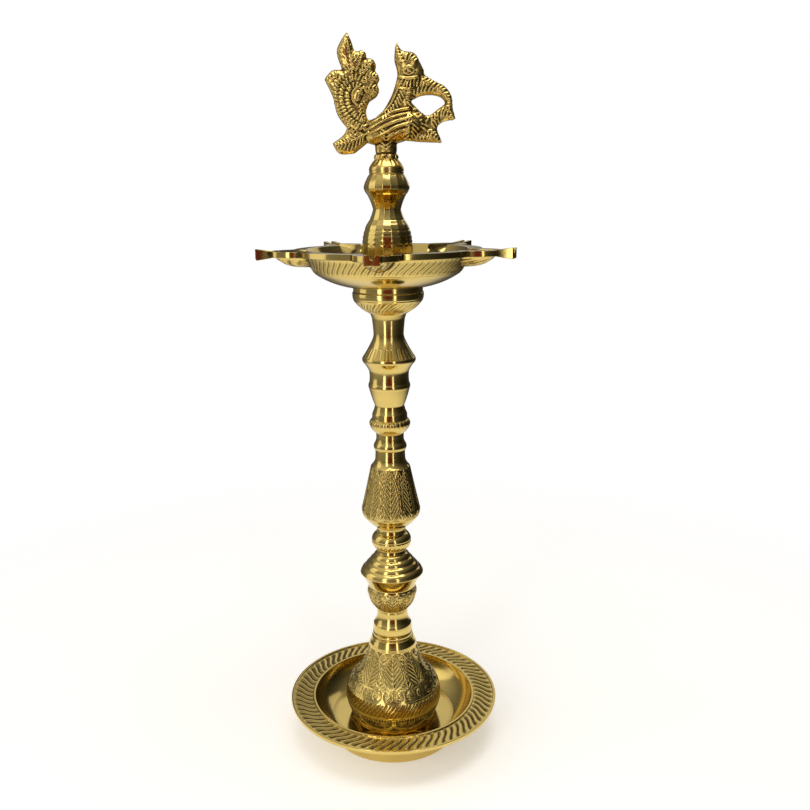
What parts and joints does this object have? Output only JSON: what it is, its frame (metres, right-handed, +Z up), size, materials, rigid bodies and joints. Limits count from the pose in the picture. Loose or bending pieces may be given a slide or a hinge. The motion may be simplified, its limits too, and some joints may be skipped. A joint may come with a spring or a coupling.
{
  "type": "brass standing oil lamp samai",
  "caption": "Tall turned brass oil lamp: dished base plate, screwed column of mouldings, spouted oil dish for wicks, and a bird finial on a short post.",
  "frame": {"origin": "on the table at the lamp's upright axis, in the plane of the foot ring's underside", "axes": "+Z up the column, +X the way the bird looks, +Y to the back"},
  "size_m": [0.155, 0.1524, 0.454],
  "materials": {
    "polished_brass": "turned and polished, darker in the engraved cuts",
    "cast_brass": "cast with chased detail, polished on the high spots",
    "stud_brass": "machined thread, unpolished",
    "plated_steel": "zinc plated",
    "seal_rubber": "matt"
  },
  "bodies": {
    "base": {"base_plate": "polished_brass", "base_washer": "plated_steel", "base_nut": "plated_steel", "base_stud": "plated_steel", "bell_pedestal": "polished_brass"},
    "pedestal_stud_body": {"pedestal_stud": "stud_brass"},
    "lower_stem_body": {"lower_stem": "polished_brass"},
    "lower_stud_body": {"lower_stud": "stud_brass"},
    "baluster_body": {"baluster": "polished_brass"},
    "baluster_stud_body": {"baluster_stud": "stud_brass"},
    "upper_stem_body": {"upper_stem": "polished_brass"},
    "oil_dish_body": {"oil_dish": "polished_brass", "dish_seal": "seal_rubber"},
    "post_stud_body": {"post_stud": "stud_brass"},
    "finial_post_body": {"finial_post": "polished_brass"},
    "finial_stud_body": {"finial_stud": "stud_brass"},
    "bird_finial_body": {"bird_finial": "cast_brass"}
  },
  "joints": [
    {"name": "lower_stem_lift", "type": "slide", "parent": "base", "child": "pedestal_stud_body", "axis": [0, 0, 1], "range_m": [0, 0.01281]},
    {"name": "lower_stem_unscrew", "type": "hinge", "parent": "pedestal_stud_body", "child": "lower_stem_body", "pos_m": [0, 0, 0.0731], "axis": [0, 0, 1], "range_deg": [0, 3691]},
    {"name": "baluster_lift", "type": "slide", "parent": "lower_stem_body", "child": "lower_stud_body", "axis": [0, 0, 1], "range_m": [0, 0.01281]},
    {"name": "baluster_unscrew", "type": "hinge", "parent": "lower_stud_body", "child": "baluster_body", "pos_m": [0, 0, 0.1471], "axis": [0, 0, 1], "range_deg": [0, 3691]},
    {"name": "upper_stem_lift", "type": "slide", "parent": "baluster_body", "child": "baluster_stud_body", "axis": [0, 0, 1], "range_m": [0, 0.01281]},
    {"name": "upper_stem_unscrew", "type": "hinge", "parent": "baluster_stud_body", "child": "upper_stem_body", "pos_m": [0, 0, 0.2016], "axis": [0, 0, 1], "range_deg": [0, 3691]},
    {"name": "oil_dish_lift_off", "type": "slide", "parent": "upper_stem_body", "child": "oil_dish_body", "axis": [0, 0, 1], "range_m": [0, 0.02]},
    {"name": "finial_post_lift", "type": "slide", "parent": "oil_dish_body", "child": "post_stud_body", "axis": [0, 0, 1], "range_m": [0, 0.01281]},
    {"name": "finial_post_unscrew", "type": "hinge", "parent": "post_stud_body", "child": "finial_post_body", "pos_m": [0, 0, 0.31], "axis": [0, 0, 1], "range_deg": [0, 3691]},
    {"name": "bird_finial_lift", "type": "slide", "parent": "finial_post_body", "child": "finial_stud_body", "axis": [0, 0, 1], "range_m": [0, 0.00925]},
    {"name": "bird_finial_unscrew", "type": "hinge", "parent": "finial_stud_body", "child": "bird_finial_body", "pos_m": [0, 0, 0.3738], "axis": [0, 0, 1], "range_deg": [0, 3331]}
  ],
  "couplings": [
    {"joint": "lower_stem_unscrew", "follows": "lower_stem_lift", "rad_per_m": 5026.5},
    {"joint": "baluster_unscrew", "follows": "baluster_lift", "rad_per_m": 5026.5},
    {"joint": "upper_stem_unscrew", "follows": "upper_stem_lift", "rad_per_m": 5026.5},
    {"joint": "finial_post_unscrew", "follows": "finial_post_lift", "rad_per_m": 5026.5},
    {"joint": "bird_finial_unscrew", "follows": "bird_finial_lift", "rad_per_m": 6283.2}
  ]
}
